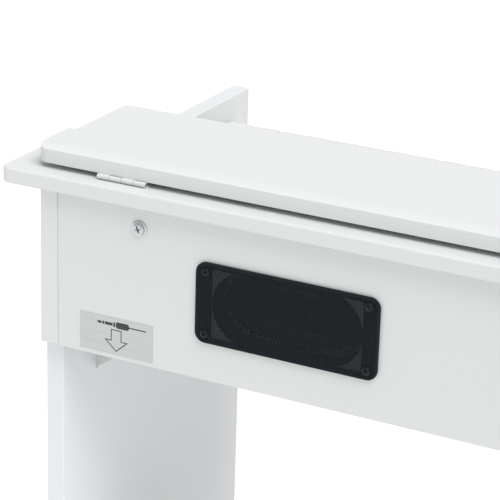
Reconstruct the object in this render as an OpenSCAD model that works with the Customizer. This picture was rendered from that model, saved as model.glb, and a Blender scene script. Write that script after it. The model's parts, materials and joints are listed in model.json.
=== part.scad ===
// Slim digital piano with a folding lid, on a two-panel stand with three pedals.
// X runs along the keyboard towards the treble end, Y towards the rear, Z up from the floor.
// The origin is on the floor, under the middle of the whole piano.
// A depth is measured forwards from the rear panel's outer face, and a level from the floor.

/* [Case] */
// Width over the two side panels
case_w = 1258; // [1256:1:1270]
// Level of the side panels' top edge
case_top = 750; // [745:1:770]
// Length of the side panels, from the rear face to the front ends of their arms
side_len = 305; // [300:1:320]
// Height of the side panels
side_h = 123; // [120:1:130]
// Thickness of the side panels and the legs
side_t = 15; // [14:0.5:15]
// Thickness of the rear panel
rear_t = 12; // [9:1:12]
// Thickness of the bottom board
bottom_t = 15; // [12:1:16]
// Radius of the arms' outer front corner
arm_r = 6; // [3:0.5:8]

/* [Top board] */
// Thickness of the top board
top_t = 12; // [10:1:15]
// How far the top board stands out past each side panel
top_side = 30; // [20:1:35]
// How far the top board stands out behind the rear panel
top_rear = 8; // [6:1:10]
// Depth of the top board's front edge
top_front = 128; // [124:1:130]
// Radius of the top board's corners, seen from above
top_r = 8; // [4:1:10]

/* [Lid] */
// Gap between the top board and the closed lid
lid_gap = 4; // [4:0.1:5]
// Height of the lid's rear rail above its underside
rail_h = 12.6; // [11:0.2:14]
// Height of the rail's rear face
rail_rear_h = 10.3; // [9:0.1:10.8]
// Depth of the rail's rear face
rail_d0 = 7; // [7:0.5:8]
// Depth of the joint between the rail and the lid's panel
rail_d1 = 53; // [50:1:56]
// Depth of the lid's front edge
lid_front = 130; // [126:1:134]
// How far the rail stands out past each side panel
rail_side = 8; // [5:1:10]
// Radius of the rail's rear corners, seen from above
rail_r = 10; // [4:1:12]
// Radius of the lid panel's front corners, seen from above
panel_r = 6; // [4:1:12]
// How far the lid's panel stands out past each side panel
panel_side = 4; // [2:1:5]
// How far the panel's top lies below the rail's top
panel_step = 0.8; // [0:0.1:1.5]
// Distance of the outer hinges from the middle
hinge_x = 563.5; // [540:0.5:580]
// Length of one hinge
hinge_len = 40; // [36:1:60]

/* [Keys] */
// Distance from one white key to the next
key_pitch = 23.5; // [23.4:0.05:23.5]
// Gap between neighbouring white keys
key_gap = 1; // [0.8:0.1:1.2]
// Level of the white keys' tops below the side panels' top edge
key_drop = 19.4; // [18:0.1:22]
// Depth of the white keys' front faces
key_front = 267; // [262:1:268]
// Length of the part of a white key in front of the black keys
key_head = 48.5; // [46:0.5:50]
// Height of a key's body
key_h = 22; // [18:1:24]
// Width of a black key
black_w = 10.5; // [9.5:0.1:11]
// Width of the slot that a black key has between the white ones
black_slot = 13; // [12.6:0.1:13.4]
// Height of the black keys above the white ones
black_rise = 12; // [11:0.5:12.5]

/* [Speakers] */
// Width of a speaker grille
grille_w = 142.7; // [130:0.1:150]
// Height of a speaker grille
grille_h = 61.6; // [58:0.1:66]
// Distance of a grille's middle from the piano's middle
grille_x = 426.5; // [400:0.5:440]
// Level of a grille's middle below the side panels' top edge
grille_drop = 62.1; // [60:0.1:64]
// How far a grille stands proud of the rear panel
grille_t = 2.5; // [1.5:0.1:3]

/* [Stand] */
// Length of a corner bracket's arm under the bottom board
bracket_w = 54; // [40:1:60]
// Length of a corner bracket's arm down the leg
bracket_h = 40; // [28:1:50]
// Depth of a leg's rear edge
leg_d0 = 8; // [4:1:20]
// Depth of a leg's front edge
leg_d1 = 301; // [290:1:304]
// Height of the glides under the legs
glide_h = 3; // [2:0.5:5]
// Level of the bottom of the rear stretcher
stretcher_z = 250; // [180:5:260]
// Height of the rear stretcher
stretcher_h = 180; // [100:5:190]
// Distance between the pedals
pedal_pitch = 75; // [65:1:80]
// Level of the pedals' tops
pedal_z = 76; // [70:1:80]

/* [Hidden] */

$fn = 48;
// Small overlap that keeps cuts clean
eps = 0.5;

// Case: derived places
half_w = case_w / 2;
inner_x = half_w - side_t;
rear_y = (side_len - top_rear) / 2;
case_bottom = case_top - side_h;
floor_z = case_bottom + bottom_t;
top_face = case_top + top_t;
slip_d0 = key_front + 3;
slip_d1 = slip_d0 + 18;
slip_top = case_top - key_drop - 12;
fall_d = [108, 118];
fall_h = 15;
// Middle of the speakers, and the sizes of their openings and baskets
speaker_z = case_top - grille_drop;
opening = [118, 57];
basket_flange = [134, 72, 20];
basket_throat = [112, 52];
basket_back = [114, 34];
flange_t = 3;
basket_d1 = 25;
basket_wall = 3;
magnet_r = 17;
magnet_d1 = 43;
cone_ring = [111.6, 51.6];
cone_throat = [96, 36];
cone_cap = [100, 27];
dust_cap_r = 10;

// Keys: derived places
key_count = 52;
middle_c = 23;
keys_x0 = -key_count * key_pitch / 2;
key_top = case_top - key_drop;
key_rear = 28;
front_slope = 6;
body_drop = 1;
head_d0 = key_front - key_head;
shaft_d = 35;
shaft_z = key_top - 12.6;
shaft_r = 2;
tail_c = (3 * key_pitch - 2 * black_slot) / 3;
tail_f = (4 * key_pitch - 3 * black_slot) / 4;
black_d0 = 122;
black_d1 = head_d0 - 1.5;
frame_z = key_top - 54;

// Chassis under the keys: a tray on bearers, with end plates for the shaft
tray_d = [62, 262];
tray_t = 2;
end_x = inner_x - 1.6;
end_t = 1.2;
end_d0 = 26;
end_top = key_top - 4;
bearer_xs = [-500, 0, 500];
bearer_half_w = 15;
bearer_d = [80, 250];

// Contact board and its rubber domes
contact_x = 608;
contact_d = [118, 152];
contact_z = frame_z + 15;
contact_t = 2;
dome_r = 4;
dome_h = 5;
dome_white_d = 135;
dome_black_d = 128;

// Circuit boards. A component is its X and depth, its half sizes and its height
circuit_d = [90, 190];
circuit_z = floor_z + 6;
circuit_t = 1.6;
post_r = 3;
post_in = [8, 6];
main_x = 250;
main_w = 200;
main_parts = [[0, 140, 14, 14, 3], [-50, 125, 10, 7, 2.5], [-50, 155, 10, 7, 2.5], [60, 140, 8, 20, 8]];
amplifier_x = -250;
amplifier_w = 120;
amplifier_parts = [[0, 110, 40, 4, 16], [-30, 150, 8, 8, 12], [0, 150, 8, 8, 12]];

// Rear face: screws and label
grille_r = 8;
grille_screw_in = [8, 7];
grille_screw_r = [3.2, 1.5];
grille_screw_h = 1.4;
grille_hole_r = 1.8;
rear_screw_xs = [-545.3, 0, 545.3];
rear_screw_z = case_top - 17.2;
rear_washer = [6.5, 1];
rear_head = [4, 3];
label_x = [533, 594.5];
label_z = [case_top - 119.7, case_top - 90.4];
label_t = 0.4;

// Lid: derived places
lid_bottom = top_face + lid_gap;
lid_top = lid_bottom + rail_h;
shoulder_d = 12;
knuckle_r = 1.9;
pin_r = 1;
hinge_d = 5.5;
hinge_z = top_face + 2.2;
knuckle_gap = 0.4;
knuckles = 4;
leaf_t = 1;
leaf_d0 = hinge_d + 2.4;
leaf_d1 = 22;
bumper_xs = [-600, -200, 200, 600];
bumper_d = 120;
bumper_r = 4;
bumper_gap = 0.1;

// Control plate, let into the top board under the lid
plate_w = 260;
plate_d0 = 64;
plate_d1 = 108;
plate_t = 2.5;
plate_fit = 0.3;
plate_mid = (plate_d0 + plate_d1) / 2;
power_x = -112;
voice_x = -72;
function_x = -46;
display_x = 5;
slider_x = 84;
control_depth = 8;
power_r = 6;
power_rise = 2;
button = [18, 9];
button_rise = 1.6;
button_fit = 0.3;
display = [60, 18];
display_t = 1;
slider_stem = [3, 2.2];
slider_cap = [12, 10];
slider_rise = [0.4, 3];
slider_slot = [56, 3];

// Sockets under the bottom board
pedal_jack_x = 564;
inlet_x = 530;
jack_d = 100;
jack_hole_r = 6;
phones_x = [-590, -568];
phones_d = 262;
phone_r = 3.25;
inlet_r = 2.75;
socket_half_w = 8;
phone_h = 18;
inlet_h = 8;
socket_roof = 2;

// Stand: derived places
leg_top = case_bottom;
board_d0 = 130;
board_t = 18;
board_z0 = 36;
board_h = 120;
housing_w = 280;
housing_d1 = 212;
housing_z0 = 36;
housing_h = 78;
housing_t = 4;
axle_d = 166;
axle_z = pedal_z - 3;
axle_r = 3;
pedal_tip = 284;
pedal_t = 6;
pedal_hub_r = 7;
pedal_arm_w = 16;
paddle_w = 24;
paddle_len = 56;
pedal_slot_w = 20;
pedal_slot_down = 16;
pedal_slot_up = 3;
stretcher_d = [40, 58];
bracket_depths = [56, 232];
bracket_t = 2;
bracket_flange = 16;
// Places of a bracket's two screws: from the leg, from its rear face and from the top
bracket_screw_x = 30;
bracket_screw_d = 9;
bracket_screw_z = 20;
stand_screw_r = [4, 2];
stand_screw_h = 2;
stand_hole_r = 2.2;
glide_r = 7;
glide_in = 22;
adjuster_d = board_d0 + board_t / 2;
adjuster_r = 5;
adjuster_in = 20;
adjuster_travel_room = 12;
adjuster_disc = [14, 8];
// Radial clearance of the parts that turn or slide on one another
running_fit = 0.05;

// Y of a depth measured forwards from the rear panel's outer face
function y_at(depth) = rear_y - depth;

// Box between two X values, two depths and two levels
module slab(x, depth, z) {
    translate([x[0], y_at(depth[1]), z[0]])
        cube([x[1] - x[0], depth[1] - depth[0], z[1] - z[0]]);
}

// Round bar along X between two X values
module bar_x(x, depth, z, r) {
    translate([x[0], y_at(depth), z])
        rotate([0, 90, 0])
            cylinder(r = r, h = x[1] - x[0]);
}

// Round bar along Y between two depths
module bar_y(x, depth, z, r) {
    translate([x, y_at(depth[1]), z])
        rotate([-90, 0, 0])
            cylinder(r = r, h = depth[1] - depth[0]);
}

// Round bar along Z between two levels
module bar_z(x, depth, z, r) {
    translate([x, y_at(depth), z[0]])
        cylinder(r = r, h = z[1] - z[0]);
}

// Outline in the Y-Z plane, drawn out along X
module drawn_x(x) {
    translate([x[0], 0, 0])
        rotate([90, 0, 90])
            linear_extrude(x[1] - x[0])
                children();
}

// Rectangle with four round corners, about its own middle
module round_rect(w, h, r) {
    square([w - 2 * r, h], center = true);
    square([w, h - 2 * r], center = true);
    for (sx = [-1, 1])
        for (sy = [-1, 1])
            translate([sx * (w / 2 - r), sy * (h / 2 - r)])
                circle(r = r);
}

// The same piece at the treble end and, mirrored, at the bass end
module both_ends() {
    children();
    mirror([1, 0, 0])
        children();
}

// ---- Case ----

// Plan of a side panel: a long board whose outer front corner is round
module side_plan() {
    translate([inner_x, y_at(side_len - arm_r)])
        square([side_t, side_len - arm_r]);
    translate([inner_x, y_at(side_len)])
        square([side_t - arm_r, side_len]);
    translate([half_w - arm_r, y_at(side_len - arm_r)])
        circle(r = arm_r);
}

module side_panel_treble() {
    color("white")
        translate([0, 0, case_bottom])
            linear_extrude(side_h)
                side_plan();
}

module side_panel_bass() {
    mirror([1, 0, 0])
        side_panel_treble();
}

// Oval with straight long sides
module speaker_oval(size) {
    round_rect(size[0], size[1], size[1] / 2 - 0.01);
}

// Places an outline on the rear panel, drawn forwards between two depths
module at_speakers(depth) {
    for (sx = [-1, 1])
        translate([sx * grille_x, y_at(depth[0]), speaker_z])
            rotate([90, 0, 0])
                linear_extrude(depth[1] - depth[0])
                    children();
}

module rear_panel() {
    color("white")
        difference() {
            slab([-inner_x, inner_x], [0, rear_t], [case_bottom, case_top]);
            at_speakers([-eps, rear_t + eps])
                speaker_oval(opening);
        }
}

module bottom_board() {
    color("white")
        difference() {
            slab([-inner_x, inner_x], [rear_t, slip_d1], [case_bottom, floor_z]);
            for (x = [pedal_jack_x, inlet_x])
                bar_z(x, jack_d, [case_bottom - eps, floor_z + eps], jack_hole_r);
            for (x = phones_x)
                bar_z(x, phones_d, [case_bottom - eps, floor_z + eps], jack_hole_r);
        }
}

module top_board() {
    color("white")
        difference() {
            translate([0, (y_at(-top_rear) + y_at(top_front)) / 2, case_top])
                linear_extrude(top_t)
                    round_rect(case_w + 2 * top_side, top_front + top_rear, top_r);
            slab([-plate_w / 2 - plate_fit, plate_w / 2 + plate_fit],
                [plate_d0 - plate_fit, plate_d1 + plate_fit],
                [case_top - eps, top_face + eps]);
        }
}

module fallboard() {
    color("white")
        slab([-inner_x, inner_x], fall_d, [case_top - fall_h, case_top]);
}

module key_slip() {
    color("white")
        slab([-inner_x, inner_x], [slip_d0, slip_d1], [floor_z, slip_top]);
}

// ---- Inside the case ----

// Steel chassis: a tray on three bearers, with an end plate for the keys' shaft at each end
module key_frame() {
    color("silver")
        difference() {
            union() {
                slab([-end_x, end_x], tray_d, [frame_z - tray_t, frame_z]);
                both_ends()
                    slab([end_x - end_t, end_x], [end_d0, tray_d[1]], [frame_z - tray_t, end_top]);
                for (x = bearer_xs)
                    slab([x - bearer_half_w, x + bearer_half_w], bearer_d, [floor_z, frame_z - tray_t]);
            }
            bar_x([-half_w, half_w], shaft_d, shaft_z, shaft_r);
        }
}

module key_shaft() {
    color("gray")
        bar_x([-end_x, end_x], shaft_d, shaft_z, shaft_r);
}

// Contact board on two webs, with a rubber dome under every key
module contact_strip() {
    face = contact_z + contact_t;
    color("green") {
        slab([-contact_x, contact_x], contact_d, [contact_z, face]);
        for (d = [contact_d[0], contact_d[1] - contact_t])
            slab([-contact_x, contact_x], [d, d + contact_t], [frame_z, contact_z]);
        for (i = [0:key_count - 1]) {
            bar_z((tail_left(i) + tail_right(i)) / 2, dome_white_d, [face, face + dome_h], dome_r);
            if (black_after(i))
                bar_z(slot_left(i) + black_slot / 2, dome_black_d, [face, face + dome_h], dome_r);
        }
    }
}

// Circuit board on four posts, with its larger components
module circuit_board(x, w, parts) {
    face = circuit_z + circuit_t;
    slab([x - w / 2, x + w / 2], circuit_d, [circuit_z, face]);
    for (sx = [-1, 1])
        for (d = [circuit_d[0] + post_in[1], circuit_d[1] - post_in[1]])
            bar_z(x + sx * (w / 2 - post_in[0]), d, [floor_z, circuit_z], post_r);
    for (p = parts)
        slab([x + p[0] - p[2], x + p[0] + p[2]], [p[1] - p[3], p[1] + p[3]], [face, face + p[4]]);
}

module main_board() {
    color("darkgreen")
        circuit_board(main_x, main_w, main_parts);
}

module amplifier_board() {
    color("darkgreen")
        circuit_board(amplifier_x, amplifier_w, amplifier_parts);
}

// Flange against the rear panel, an open basket behind it and the magnet
module speaker_baskets() {
    flange_d1 = rear_t + flange_t;
    back_d1 = rear_t + basket_d1;
    color("dimgray") {
        difference() {
            at_speakers([rear_t, flange_d1])
                round_rect(basket_flange[0], basket_flange[1], basket_flange[2]);
            at_speakers([rear_t - eps, flange_d1 + eps])
                speaker_oval(basket_throat);
        }
        difference() {
            at_speakers([flange_d1, back_d1])
                speaker_oval(basket_back);
            at_speakers([flange_d1 - eps, back_d1 - basket_wall - 1])
                speaker_oval([basket_back[0] - 2 * basket_wall, basket_back[1] - 2 * basket_wall]);
        }
        for (sx = [-1, 1])
            bar_y(sx * grille_x, [back_d1, rear_t + magnet_d1], speaker_z, magnet_r);
    }
}

// Surround, cone and dust cap
module speaker_cones() {
    ring_d = [rear_t + 0.5, rear_t + flange_t];
    cap_d = [rear_t + 2, rear_t + 4.5];
    color("black") {
        difference() {
            at_speakers(ring_d)
                speaker_oval(cone_ring);
            at_speakers([ring_d[0] - eps, ring_d[1] + eps])
                speaker_oval(cone_throat);
        }
        at_speakers(cap_d)
            speaker_oval(cone_cap);
        for (sx = [-1, 1])
            bar_y(sx * grille_x, [cap_d[0], cap_d[0] + 5], speaker_z, dust_cap_r);
    }
}

// ---- Rear face ----

module speaker_grilles() {
    color("black")
        difference() {
            at_speakers([-grille_t, 0])
                round_rect(grille_w, grille_h, grille_r);
            at_grille_screws([-grille_t - eps, eps], grille_hole_r);
        }
}

// A round bar at each of the eight screws that hold the grilles
module at_grille_screws(depth, r) {
    for (sx = [-1, 1])
        for (hx = [-1, 1])
            for (hz = [-1, 1])
                bar_y(sx * grille_x + hx * (grille_w / 2 - grille_screw_in[0]), depth,
                    speaker_z + hz * (grille_h / 2 - grille_screw_in[1]), r);
}

module grille_screws() {
    color("black") {
        at_grille_screws([-grille_t - grille_screw_h, -grille_t], grille_screw_r[0]);
        at_grille_screws([-grille_t, 0], grille_screw_r[1]);
    }
}

module rear_screws() {
    color("silver")
        for (x = rear_screw_xs) {
            bar_y(x, [-rear_washer[1], 0], rear_screw_z, rear_washer[0]);
            bar_y(x, [-rear_head[1], -rear_washer[1]], rear_screw_z, rear_head[0]);
        }
}

module label_plate() {
    color("silver")
        slab(label_x, [-label_t, 0], label_z);
}

// ---- Control plate ----

module control_plate() {
    color("black")
        difference() {
            slab([-plate_w / 2, plate_w / 2], [plate_d0, plate_d1], [top_face - plate_t, top_face]);
            bar_z(power_x, plate_mid, [case_top, top_face + eps], power_r + button_fit);
            for (x = [voice_x, function_x])
                on_plate(x, button + 2 * [button_fit, button_fit], [case_top, top_face + eps]);
            on_plate(slider_x, slider_slot, [case_top, top_face + eps]);
            on_plate(display_x, display, [top_face - display_t, top_face + eps]);
        }
}

// Box centred on the control plate's middle line
module on_plate(x, size, z) {
    slab([x - size[0] / 2, x + size[0] / 2], [plate_mid - size[1] / 2, plate_mid + size[1] / 2], z);
}

module display_window() {
    color("darkslategray")
        on_plate(display_x, display, [top_face - display_t, top_face]);
}

module power_button() {
    color("white")
        bar_z(power_x, plate_mid, [top_face - control_depth, top_face + power_rise], power_r);
}

// Rectangular push button
module push_button(x) {
    color("white")
        on_plate(x, button, [top_face - control_depth, top_face + button_rise]);
}

module voice_button() {
    push_button(voice_x);
}

module function_button() {
    push_button(function_x);
}

module volume_slider() {
    color("white") {
        on_plate(slider_x, slider_stem, [top_face - control_depth, top_face + 1]);
        on_plate(slider_x, slider_cap, top_face * [1, 1] + slider_rise);
    }
}

// ---- Sockets ----

// Socket that opens downwards through the bottom board, with a flange above it
module socket(x, depth, r, body_h) {
    difference() {
        union() {
            bar_z(x, depth, [case_bottom, floor_z], jack_hole_r - 0.2);
            slab([x - socket_half_w, x + socket_half_w], [depth - socket_half_w, depth + socket_half_w],
                [floor_z, floor_z + body_h]);
        }
        bar_z(x, depth, [case_bottom - eps, floor_z + body_h - socket_roof], r);
    }
}

module pedal_jack() {
    color("black")
        socket(pedal_jack_x, jack_d, phone_r, phone_h);
}

module power_inlet() {
    color("black")
        socket(inlet_x, jack_d, inlet_r, inlet_h);
}

module headphone_jacks() {
    color("black")
        for (x = phones_x)
            socket(x, phones_d, phone_r, phone_h);
}

// ---- Lid ----

// Drop of the rail's shoulder below its top, at a distance behind the flat
function shoulder_drop(t) =
    let (drop = rail_h - rail_rear_h,
        r = (shoulder_d * shoulder_d + drop * drop) / (2 * drop))
    r - sqrt(r * r - t * t);

module lid_rail() {
    steps = 8;
    color("white")
        intersection() {
            drawn_x([-half_w - rail_side, half_w + rail_side])
                polygon(concat(
                    [[y_at(rail_d1), lid_bottom], [y_at(rail_d1), lid_top]],
                    [for (i = [0:steps])
                        let (t = shoulder_d * i / steps)
                        [y_at(rail_d0 + shoulder_d - t), lid_top - shoulder_drop(t)]],
                    [[y_at(rail_d0), lid_bottom]]));
            translate([0, (y_at(rail_d0) + y_at(rail_d1 + 20)) / 2, lid_bottom - eps])
                linear_extrude(rail_h + 2 * eps)
                    round_rect(case_w + 2 * rail_side, rail_d1 + 20 - rail_d0, rail_r);
        }
}

module lid_panel() {
    color("white")
        intersection() {
            slab([-half_w - panel_side, half_w + panel_side], [rail_d1, lid_front],
                [lid_bottom, lid_top - panel_step]);
            translate([0, (y_at(rail_d1 - 20) + y_at(lid_front)) / 2, lid_bottom - eps])
                linear_extrude(rail_h + 2 * eps)
                    round_rect(case_w + 2 * panel_side, lid_front - rail_d1 + 20, panel_r);
        }
}

// Every second knuckle of one hinge, starting from the given one, with its tab
module knuckle_row(x, first, tab_z) {
    step = hinge_len / knuckles;
    for (k = [first:2:knuckles - 1]) {
        x0 = x - hinge_len / 2 + k * step + knuckle_gap / 2;
        x1 = x0 + step - knuckle_gap;
        bar_x([x0, x1], hinge_d, hinge_z, knuckle_r);
        slab([x0, x1], [hinge_d, leaf_d0], tab_z);
    }
}

// One set of hinge leaves, at the level of the face that it is screwed to
module hinge_leaves(first, leaf_z) {
    color("white")
        difference() {
            for (x = [-hinge_x, 0, hinge_x]) {
                knuckle_row(x, first, leaf_z);
                slab([x - hinge_len / 2, x + hinge_len / 2], [leaf_d0, leaf_d1], leaf_z);
            }
            bar_x([-half_w, half_w], hinge_d, hinge_z, pin_r + running_fit);
        }
}

module hinge_leaves_fixed() {
    hinge_leaves(0, [top_face, top_face + leaf_t]);
}

module hinge_leaves_moving() {
    hinge_leaves(1, [lid_bottom - leaf_t, lid_bottom]);
}

module hinge_pins() {
    color("silver")
        for (x = [-hinge_x, 0, hinge_x])
            bar_x([x - hinge_len / 2, x + hinge_len / 2], hinge_d, hinge_z, pin_r);
}

module lid_bumpers() {
    color("dimgray")
        for (x = bumper_xs)
            bar_z(x, bumper_d, [top_face + bumper_gap, lid_bottom], bumper_r);
}

// ---- Keys ----

// Letter of a white key, counted from C
function letter(i) = (i + 5) % 7;
// X of the C below a white key
function octave_x(i) = keys_x0 + (i - letter(i)) * key_pitch;
// Whether a black key lies to the right of a white one
function black_after(i) = i < key_count - 1 && letter(i) != 2 && letter(i) != 6;
// Left side of the slot of the black key to the right of a white one
function slot_left(i) = octave_x(i) + (letter(i) < 2
    ? (letter(i) + 1) * tail_c + letter(i) * black_slot
    : 3 * key_pitch + (letter(i) - 2) * tail_f + (letter(i) - 3) * black_slot);
// Left and right sides of a white key's head and of its tail
function head_left(i) = keys_x0 + i * key_pitch + key_gap / 2;
function head_right(i) = head_left(i) + key_pitch - key_gap;
function tail_left(i) = i > 0 && black_after(i - 1) ? slot_left(i - 1) + black_slot : head_left(i);
function tail_right(i) = black_after(i) ? slot_left(i) : head_right(i);

// Bore for the shaft that every key swings on
module shaft_bore(x) {
    bar_x(x, shaft_d, shaft_z, shaft_r + running_fit);
}

module white_key(i) {
    color("ivory")
        difference() {
            union() {
                slab([head_left(i), head_right(i)], [head_d0, key_front], [key_top - key_h, key_top]);
                slab([tail_left(i), tail_right(i)], [key_rear, head_d0], [key_top - key_h, key_top]);
            }
            shaft_bore([tail_left(i) - eps, tail_right(i) + eps]);
        }
}

// Black key to the right of a white one: a low body, and the raised top with its sloping front
module black_key(i) {
    x0 = slot_left(i) + (black_slot - black_w) / 2;
    color("black")
        difference() {
            drawn_x([x0, x0 + black_w])
                polygon([[y_at(key_rear), key_top - key_h], [y_at(key_rear), key_top - body_drop],
                    [y_at(black_d0), key_top - body_drop], [y_at(black_d0), key_top + black_rise],
                    [y_at(black_d1 - front_slope), key_top + black_rise], [y_at(black_d1), key_top],
                    [y_at(black_d1), key_top - key_h]]);
            shaft_bore([x0 - eps, x0 + black_w + eps]);
        }
}

// Every key outside the middle octave
module white_keys() {
    for (i = [0:key_count - 1])
        if (i < middle_c || i > middle_c + 6)
            white_key(i);
}

module black_keys() {
    for (i = [0:key_count - 1])
        if (black_after(i) && (i < middle_c || i > middle_c + 6))
            black_key(i);
}

// ---- Stand ----

module leg_treble() {
    color("white")
        slab([inner_x, half_w], [leg_d0, leg_d1], [glide_h, leg_top]);
}

module leg_bass() {
    mirror([1, 0, 0])
        leg_treble();
}

module rear_stretcher() {
    color("white")
        slab([-inner_x, inner_x], stretcher_d, [stretcher_z, stretcher_z + stretcher_h]);
}

module pedal_board() {
    color("white")
        difference() {
            slab([-inner_x, inner_x], [board_d0, board_d0 + board_t], [board_z0, board_z0 + board_h]);
            bar_z(0, adjuster_d, [board_z0 - eps, board_z0 + adjuster_in + adjuster_travel_room],
                adjuster_r + running_fit);
        }
}

// Box on the pedal board's front, open below, with a slot for each pedal and bores for the axle
module pedal_housing() {
    x1 = housing_w / 2;
    d0 = board_d0 + board_t;
    z1 = housing_z0 + housing_h;
    color("white")
        difference() {
            slab([-x1, x1], [d0, housing_d1], [housing_z0, z1]);
            slab([-x1 + housing_t, x1 - housing_t], [d0 - eps, housing_d1 - housing_t],
                [housing_z0 - eps, z1 - housing_t]);
            for (k = [-1:1])
                slab([k * pedal_pitch - pedal_slot_w / 2, k * pedal_pitch + pedal_slot_w / 2],
                    [housing_d1 - 2 * housing_t, housing_d1 + eps],
                    [pedal_z - pedal_t - pedal_slot_down, pedal_z + pedal_slot_up]);
            bar_x([-x1 - eps, x1 + eps], axle_d, axle_z, axle_r);
        }
}

module pedal_axle() {
    color("silver")
        bar_x([-housing_w / 2, housing_w / 2], axle_d, axle_z, axle_r);
}

// Pedal: a hub on the axle, an arm through the housing's slot and a wide paddle with a round end
module pedal(k) {
    x = k * pedal_pitch;
    hub_w = pedal_arm_w / 2;
    color("goldenrod")
        difference() {
            union() {
                bar_x([x - hub_w, x + hub_w], axle_d, axle_z, pedal_hub_r);
                translate([x, 0, pedal_z - pedal_t])
                    linear_extrude(pedal_t) {
                        translate([-hub_w, y_at(pedal_tip - 40)])
                            square([pedal_arm_w, pedal_tip - 40 - axle_d]);
                        translate([0, y_at(pedal_tip - paddle_len / 2)])
                            round_rect(paddle_w, paddle_len, paddle_w / 2 - 0.01);
                    }
            }
            bar_x([x - hub_w - eps, x + hub_w + eps], axle_d, axle_z, axle_r + running_fit);
        }
}

module pedal_left() {
    pedal(-1);
}

module pedal_middle() {
    pedal(0);
}

module pedal_right() {
    pedal(1);
}

// Steel angle under the bottom board: a web and two flanges
module corner_bracket(depth) {
    t = bracket_t;
    reach = [depth, depth + bracket_flange];
    screw_d = depth + bracket_screw_d;
    difference() {
        union() {
            slab([inner_x - bracket_w, inner_x], reach, [leg_top - t, leg_top]);
            slab([inner_x - t, inner_x], reach, [leg_top - bracket_h, leg_top]);
            translate([0, y_at(depth), 0])
                rotate([90, 0, 0])
                    linear_extrude(t)
                        polygon([[inner_x - bracket_w, leg_top], [inner_x, leg_top],
                            [inner_x, leg_top - bracket_h]]);
        }
        bar_z(inner_x - bracket_screw_x, screw_d, [leg_top - t - eps, leg_top + eps], stand_hole_r);
        bar_x([inner_x - t - eps, inner_x + eps], screw_d, leg_top - bracket_screw_z, stand_hole_r);
    }
}

module corner_brackets() {
    color("silver")
        both_ends()
            for (d = bracket_depths)
                corner_bracket(d);
}

// Heads on the brackets, and the shanks that fill the brackets' holes
module stand_screws() {
    head = bracket_t + stand_screw_h;
    color("dimgray")
        both_ends()
            for (depth = bracket_depths) {
                d = depth + bracket_screw_d;
                x = inner_x - bracket_screw_x;
                z = leg_top - bracket_screw_z;
                bar_z(x, d, [leg_top - head, leg_top - bracket_t], stand_screw_r[0]);
                bar_z(x, d, [leg_top - bracket_t, leg_top], stand_screw_r[1]);
                bar_x([inner_x - head, inner_x - bracket_t], d, z, stand_screw_r[0]);
                bar_x([inner_x - bracket_t, inner_x], d, z, stand_screw_r[1]);
            }
}

module foot_glides() {
    color("dimgray")
        both_ends()
            for (d = [leg_d0 + glide_in, leg_d1 - glide_in])
                bar_z((inner_x + half_w) / 2, d, [0, glide_h], glide_r);
}

// Foot on a thread that turns into the middle of the pedal board
module adjuster_foot() {
    color("dimgray") {
        bar_z(0, adjuster_d, [0, adjuster_disc[1]], adjuster_disc[0]);
        bar_z(0, adjuster_d, [adjuster_disc[1], board_z0 + adjuster_in], adjuster_r);
    }
}

side_panel_treble();
side_panel_bass();
rear_panel();
bottom_board();
top_board();
fallboard();
key_slip();
key_frame();
key_shaft();
contact_strip();
main_board();
amplifier_board();
speaker_baskets();
speaker_cones();
speaker_grilles();
grille_screws();
rear_screws();
label_plate();
control_plate();
display_window();
pedal_jack();
power_inlet();
headphone_jacks();
hinge_leaves_fixed();
hinge_pins();
leg_treble();
leg_bass();
rear_stretcher();
pedal_board();
pedal_housing();
pedal_axle();
corner_brackets();
stand_screws();
foot_glides();
adjuster_foot();
lid_rail();
lid_panel();
hinge_leaves_moving();
lid_bumpers();
power_button();
voice_button();
function_button();
volume_slider();
pedal_left();
pedal_middle();
pedal_right();
white_keys();
black_keys();
white_key(middle_c);  // key_c4
black_key(middle_c);  // key_cs4
white_key(middle_c + 1);  // key_d4
black_key(middle_c + 1);  // key_ds4
white_key(middle_c + 2);  // key_e4
white_key(middle_c + 3);  // key_f4
black_key(middle_c + 3);  // key_fs4
white_key(middle_c + 4);  // key_g4
black_key(middle_c + 4);  // key_gs4
white_key(middle_c + 5);  // key_a4
black_key(middle_c + 5);  // key_as4
white_key(middle_c + 6);  // key_b4
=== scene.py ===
"""Finished look of a slim digital piano on a two-leg stand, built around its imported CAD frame.

Boards, keys and pedals are softened copies of their CAD solids; grilles, screws, cones, the label and the
printed marks are modelled here. Every length is in metres, and every piece lies where its CAD solid lies.
"""
import json
import math

import bmesh
import bpy
from bpy.props import FloatProperty, FloatVectorProperty, IntProperty, PointerProperty
from bpy.types import Operator, Panel, PropertyGroup
from mathutils import Matrix, Quaternion, Vector

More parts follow.
